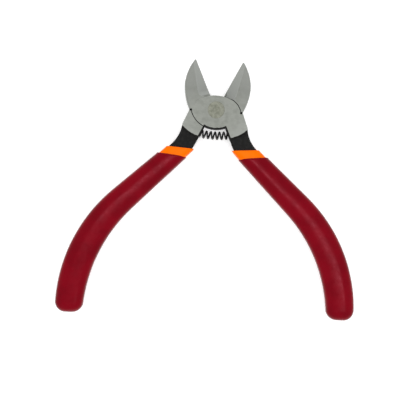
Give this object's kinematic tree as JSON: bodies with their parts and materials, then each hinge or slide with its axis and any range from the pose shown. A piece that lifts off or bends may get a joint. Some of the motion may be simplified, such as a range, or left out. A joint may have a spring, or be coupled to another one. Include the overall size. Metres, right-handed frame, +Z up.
{
  "type": "diagonal cutting pliers",
  "caption": "Spring-opened diagonal cutting pliers with a flush lap joint, two bevelled jaws and long curved dip-coated handles.",
  "frame": {"origin": "pivot axis at the flat underside of the head, the plane that the tool rests on", "axes": "+Z up along the pivot axis, +Y along the centreline of the open tool towards the jaw tips, +X towards the right handle"},
  "size_m": [0.1493, 0.1306, 0.01],
  "materials": {
    "forged_steel": "ground satin head, black oxide neck",
    "rivet_steel": "ground flush",
    "spring_steel": "black oiled",
    "orange_dip": "smooth dip",
    "red_dip": "smooth dip, satin"
  },
  "bodies": {
    "rear_body": {"rear_half": "forged_steel", "pivot_rivet": "rivet_steel", "return_spring": "spring_steel", "left_undercoat": "orange_dip", "left_grip": "red_dip"},
    "front_body": {"front_half": "forged_steel", "right_undercoat": "orange_dip", "right_grip": "red_dip"}
  },
  "joints": [
    {"name": "jaw_pivot", "type": "hinge", "parent": "rear_body", "child": "front_body", "pos_m": [0, 0, 0.005], "axis": [0, 0, 1], "range_deg": [-50.4, 0], "stiffness_Nm_per_rad": 0.12, "springref_deg": 20.05, "deforming": ["return_spring"]}
  ]
}
